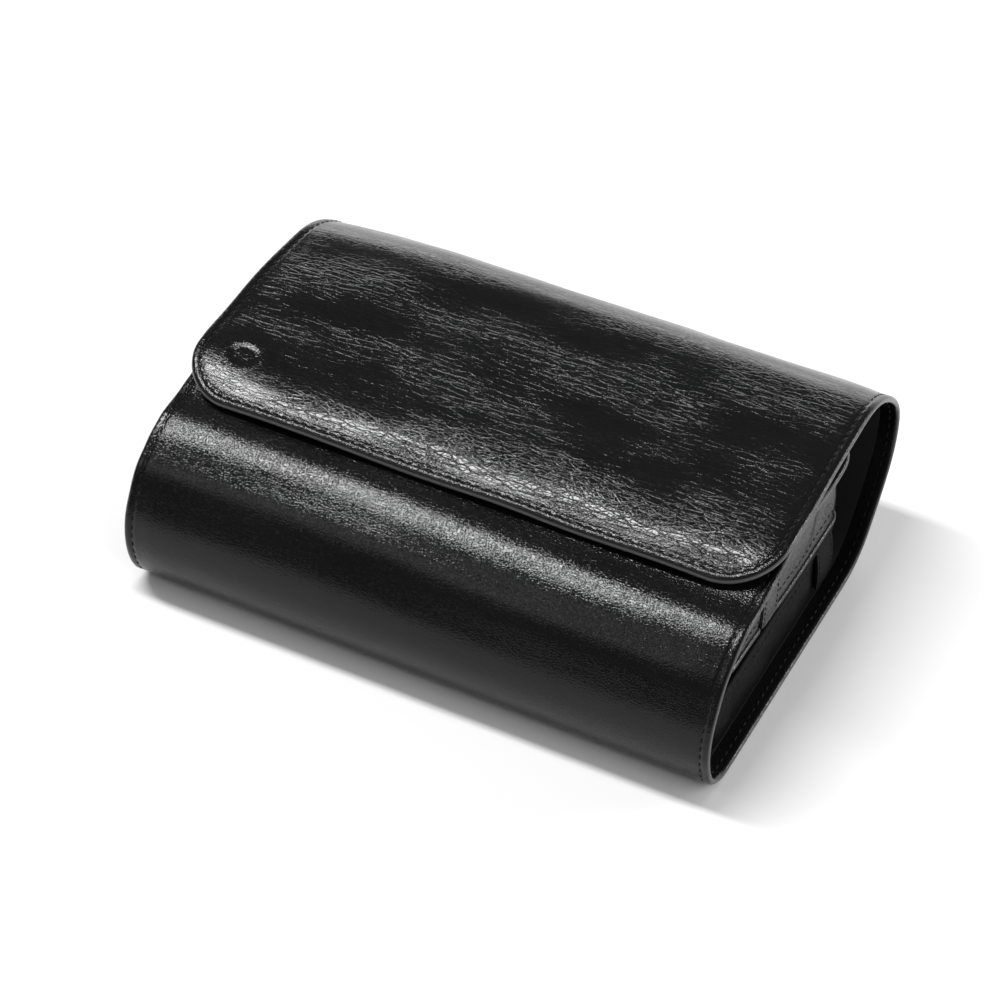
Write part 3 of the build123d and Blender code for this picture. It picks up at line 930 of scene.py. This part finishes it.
def end_tab(name, side, swell):
    """A strip of hide lying on the face and turned down over the pouch's end."""
    flat = [(100.5 + k, 0.5) for k in np.linspace(0, 10.8, 9)]
    turned = [(111.3 + 1.2 * math.sin(a), -0.7 + 1.2 * math.cos(a))
              for a in np.radians(graded((15, 90, 15)))]
    hanging = [(112.5 + swell * math.sin(math.pi * k / 24) ** 0.7, -0.7 - k)
               for k in np.linspace(1.2, 19.2, 14)]
    run = flat + turned + hanging
    verts, across = [], np.linspace(-1, 1, 11)
    for i, (x, z) in enumerate(run):
        close = min(i, len(run) - 1 - i)
        width = (7 - (0.9, 0.3, 0.05, 0)[min(close, 3)]) * mm
        verts += [(side * x * mm, u * width, (z + 0.12 * (1 - u * u)) * mm) for u in across]
    n = len(across)
    faces = [(i * n + k, i * n + k + 1, (i + 1) * n + k + 1, (i + 1) * n + k)
             for i in range(len(run) - 1) for k in range(n - 1)]
    seams = [[(side * x * mm, u * mm, (z + 0.6) * mm) for x, z in flat] +
             [(side * (x + 0.55) * mm, u * mm, z * mm) for x, z in turned + hanging]
             for u in (-5.4, 5.4)]
    return sheet_object(name, verts, faces, 1.0 * mm, 0.0), seams


def settle(obj, y, z, down):
    """Sets a zip's part, made about its own middle, into a face that looks up or down."""
    for vert in obj.data.vertices:
        vert.co = (vert.co.x, vert.co.y + y, z - vert.co.z if down else z + vert.co.z)
    if down:
        obj.data.flip_normals()
    return obj


for prefix, y, z, down, body in (("lower", lower_zip_y, 28 * mm, False, "case"),
                                 ("upper", upper_zip_y, 33 * mm, True, "leaf")):
    tape = join(prefix + "_tape", [box_mm("half", -104, 104, a, b, -2.2, -1.6, 0.12)
                                   for a, b in ((-12.7, -0.7), (0.7, 12.7))])
    tooth_lines = [[(x, side * 1.65 * mm, -0.8 * mm)
                    for x in (-zip_half + 0.7 * mm + shift, zip_half - 0.7 * mm)]
                   for side, shift in ((-1, 0), (1, 1.1 * mm))]
    teeth = row(prefix + "_teeth", tooth_lines, tooth_tree,
                (2.2 * mm, 1.25 * mm, 2.7 * mm, 1.5 * mm))
    stops = join(prefix + "_stops", [box_mm("stop", x, x + 2, -3, 3, -1.6, 0, 0.35)
                                     for x in (-100, 98)])
    tabs, tab_seams = zip(*[end_tab("tab", side, 0.3 if down else 1.3) for side in (-1, 1)])
    tabs = join(prefix + "_tabs", tabs)
    sewn = stitch(prefix + "_tab_stitches", [seam for pair in tab_seams for seam in pair],
                  2.6 * mm, 1.8 * mm, 0.45 * mm)
    bail = [(-94, 0, 1.1), (-94, 0, 2.7), (-93.7, 0, 3.2), (-93.2, 0, 3.4), (-88.8, 0, 3.4),
            (-88.3, 0, 3.2), (-88, 0, 2.7), (-88, 0, 1.1)]
    slider = join(prefix + "_slider_body", [
        box_mm("plate", -97, -85, -4, 4, 0.3, 1.3, 0.45),
        box_mm("under", -97, -85, -4, 4, -3.5, -2.5, 0.45),
        box_mm("post", -96.5, -94.5, -0.5, 0.5, -2.7, 0.5, 0.15),
        arch("bail", np.array(bail) * mm, 0.48 * mm)])
    pull = plate_with_eye(prefix + "_pull_plate", eye_x=-94 * mm, far_x=-107.4 * mm,
                          radius=2.6 * mm, eye=1.0 * mm, low=1.6 * mm, high=2.6 * mm)
    for piece, node, rides, slot_name, finish in (
            (tape, "zip_tape", body, "zip_tape", tape_weave),
            (teeth, "zip_teeth", body, "zip_metal", plating),
            (stops, "zip_stops", body, "zip_metal", plating),
            # the lower zip's tabs take the darker copy of the hide, which is painted shade
            (tabs, "zip_tabs", body, "pouch_hide", soft if down else shade_darkened_hide),
            (sewn, None, body, "pouch_hide", thread),
            (slider, "zip_slider", prefix + "_slider", "zip_metal", plating),
            (pull, "zip_pull", prefix + "_pull", "zip_metal", plating)):
        settle(piece, y, z, down)
        finish.on(piece)
        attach(piece, rides)
        if node:
            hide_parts(prefix + "_" + node)

# ---- Floor, lights and camera --------------------------------------------------------------
# A pale floor, a long soft strip overhead that draws the highlight along each roll of the hide,
# weaker soft boxes round it, and a camera above the front right corner.
floor_size = 12
bpy.ops.mesh.primitive_plane_add(size=floor_size)
floor = bpy.context.object
floor.name = "floor"
paper = Finish("pale_floor", Roughness=0.9, Base_Color=(0.58, 0.58, 0.58, 1),
               Specular_IOR_Level=0.1)
paper.on(floor)

room_glow = 0.19
world = bpy.data.worlds.new("studio")
bpy.context.scene.world = world
world.use_nodes = True
world.node_tree.nodes["Background"].inputs["Color"].default_value = (1, 1, 1, 1)
world.node_tree.nodes["Background"].inputs["Strength"].default_value = room_glow


def softbox(name, place, aim, width, depth, glow, mirrored=True):
    """A soft rectangular light of a given brightness, seen in the gloss or not."""
    light = bpy.data.lights.new(name, "AREA")
    light.shape = "RECTANGLE"
    light.size, light.size_y, light.energy = width, depth, glow * math.pi * width * depth
    lamp = bpy.data.objects.new(name, light)
    lamp.location = place
    away = (Vector(place) - Vector(aim)).normalized()
    level = Vector((1, 0, 0)) - away * away.x
    level.normalize()
    lamp.rotation_mode = "QUATERNION"
    axes = Matrix((level, away.cross(level), away)).transposed()
    lamp.rotation_quaternion = axes.to_quaternion()
    lamp.visible_glossy = mirrored
    bpy.context.scene.collection.objects.link(lamp)


softbox("overhead_strip", (-0.5, -0.04, 1.25), (0, 0, 0.05), 1.1, 0.17, 44)
softbox("front_box", (-0.5, -0.75, 0.95), (0, 0, 0.05), 1.0, 0.3, 1.8)
softbox("backdrop", (-0.6, 2.4, 0.35), (0, 0, 0.2), 4.0, 0.7, 3.2)
softbox("right_edge", (1.5, 1.1, 0.75), (0, 0, 0.05), 0.6, 0.6, 12)
softbox("right_fill", (1.2, -0.5, 1.0), (0.1, 0, 0), 1.0, 1.0, 4.6, mirrored=False)
softbox("key", (0.3, 1.35, 0.98), (0, 0, 0), 1.3, 0.9, 4.2, mirrored=False)

lens = bpy.data.cameras.new("camera")
lens.lens = 115.2
lens.sensor_width = 36
camera = bpy.data.objects.new("camera", lens)
bpy.context.scene.collection.objects.link(camera)
bpy.context.scene.camera = camera
azimuth, elevation, distance = math.radians(27.48), math.radians(43.12), 1.215
target = Vector((-7.3, 2.7, 21.5)) * mm
back = Vector((math.sin(azimuth) * math.cos(elevation), -math.cos(azimuth) * math.cos(elevation),
               math.sin(elevation)))
camera.location = target + back * distance
camera.rotation_mode = "QUATERNION"
camera.rotation_quaternion = back.to_track_quat("Z", "Y")
bpy.context.scene.view_settings.view_transform = "Standard"
